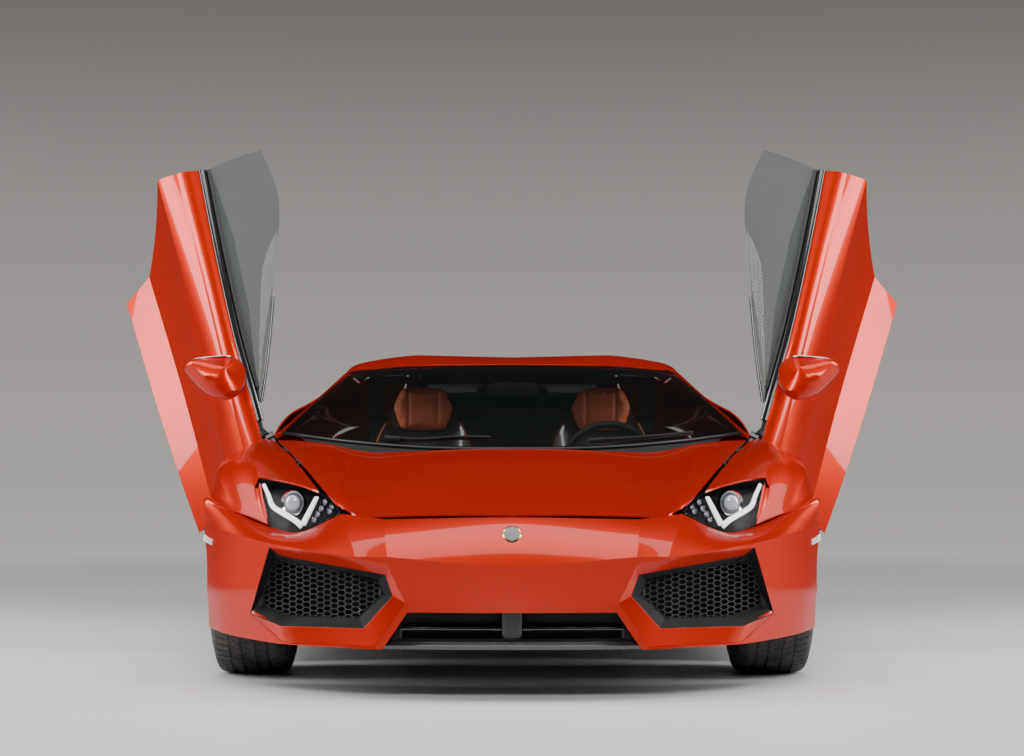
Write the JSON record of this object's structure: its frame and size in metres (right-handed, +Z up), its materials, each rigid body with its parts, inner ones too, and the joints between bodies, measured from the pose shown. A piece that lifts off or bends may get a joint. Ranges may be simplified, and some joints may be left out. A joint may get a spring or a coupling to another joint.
{
  "type": "supercar",
  "caption": "Low two-seat mid-engined sports car with forward-hinged scissor doors that stand open, opening lids, steered front wheels and rolling wheels.",
  "frame": {"origin": "on the ground midway between the wheels' ends, under the middle of the car's box with its doors open", "axes": "+X to the car's left, +Y to its tail, +Z up; the nose faces -Y"},
  "size_m": [3.0378, 4.78, 1.8836],
  "materials": {
    "paint": "gloss pearl orange",
    "black_gloss": "gloss",
    "black_satin": "satin",
    "carbon": "satin",
    "window_glass": "tinted",
    "windshield_glass": "tinted",
    "lamp": "gloss",
    "tail_lamp": "gloss",
    "interior": "satin",
    "seat_leather": "satin",
    "frame_metal": "satin",
    "steel": "machined",
    "rim_paint": "satin",
    "tyre": "matte",
    "exhaust_metal": "satin"
  },
  "bodies": {
    "chassis": {"tub": "carbon", "subframes": "frame_metal", "undertray": "black_satin", "luggage_tray": "interior", "front_bumper": "paint", "front_splitter": "black_gloss", "front_intakes": "black_satin", "front_fender_left": "paint", "front_fender_right": "paint", "headlights": "lamp", "arch_liners": "black_satin", "pillars": "paint", "windshield": "windshield_glass", "roof": "paint", "cowl": "black_satin", "dashboard": "interior", "steering_wheel": "interior", "seat_left": "seat_leather", "seat_right": "seat_leather", "rear_window": "windshield_glass", "rear_fender_left": "paint", "rear_fender_right": "paint", "side_intakes": "black_satin", "side_skirts": "black_gloss", "rear_bumper": "paint", "diffuser": "black_satin", "taillights": "tail_lamp", "exhaust": "exhaust_metal", "engine_block": "frame_metal", "suspension": "frame_metal"},
    "door_left": {"door_left": "paint", "door_glass_left": "window_glass", "mirror_left": "paint"},
    "door_right": {"door_right": "paint", "door_glass_right": "window_glass", "mirror_right": "paint"},
    "hood": {"hood": "paint"},
    "engine_cover": {"engine_cover": "paint"},
    "knuckle_left": {"front_knuckle_left": "frame_metal"},
    "knuckle_right": {"front_knuckle_right": "frame_metal"},
    "wheel_front_left": {"rim_front_left": "rim_paint", "tyre_front_left": "tyre", "brake_front_left": "steel"},
    "wheel_front_right": {"rim_front_right": "rim_paint", "tyre_front_right": "tyre", "brake_front_right": "steel"},
    "wheel_rear_left": {"rim_rear_left": "rim_paint", "tyre_rear_left": "tyre", "brake_rear_left": "steel"},
    "wheel_rear_right": {"rim_rear_right": "rim_paint", "tyre_rear_right": "tyre", "brake_rear_right": "steel"}
  },
  "joints": [
    {"name": "door_left_swing", "type": "hinge", "parent": "chassis", "child": "door_left", "pos_m": [0.9, -0.7, 0.79], "axis": [0.8771, -0.183, -0.4441], "range_deg": [-72, 0]},
    {"name": "door_right_swing", "type": "hinge", "parent": "chassis", "child": "door_right", "pos_m": [-0.9, -0.7, 0.79], "axis": [0.8771, 0.183, 0.4441], "range_deg": [-72, 0]},
    {"name": "hood_lift", "type": "hinge", "parent": "chassis", "child": "hood", "pos_m": [0, -0.655, 0.745], "axis": [-1, 0, 0], "range_deg": [0, 42]},
    {"name": "engine_cover_lift", "type": "hinge", "parent": "chassis", "child": "engine_cover", "pos_m": [0, 0.702, 1.058], "axis": [1, 0, 0], "range_deg": [0, 45]},
    {"name": "steer_left", "type": "hinge", "parent": "chassis", "child": "knuckle_left", "pos_m": [0.8, -1.38, 0.33], "axis": [0, 0, 1], "range_deg": [-32, 32]},
    {"name": "steer_right", "type": "hinge", "parent": "chassis", "child": "knuckle_right", "pos_m": [-0.8, -1.38, 0.33], "axis": [0, 0, 1], "range_deg": [-32, 32]},
    {"name": "spin_front_left", "type": "hinge", "parent": "knuckle_left", "child": "wheel_front_left", "pos_m": [0.86, -1.38, 0.33], "axis": [1, 0, 0], "continuous": true},
    {"name": "spin_rear_left", "type": "hinge", "parent": "chassis", "child": "wheel_rear_left", "pos_m": [0.84, 1.32, 0.354], "axis": [1, 0, 0], "continuous": true},
    {"name": "spin_front_right", "type": "hinge", "parent": "knuckle_right", "child": "wheel_front_right", "pos_m": [-0.86, -1.38, 0.33], "axis": [1, 0, 0], "continuous": true},
    {"name": "spin_rear_right", "type": "hinge", "parent": "chassis", "child": "wheel_rear_right", "pos_m": [-0.84, 1.32, 0.354], "axis": [1, 0, 0], "continuous": true}
  ],
  "couplings": [
    {"joint": "steer_right", "follows": "steer_left", "ratio": 1}
  ]
}
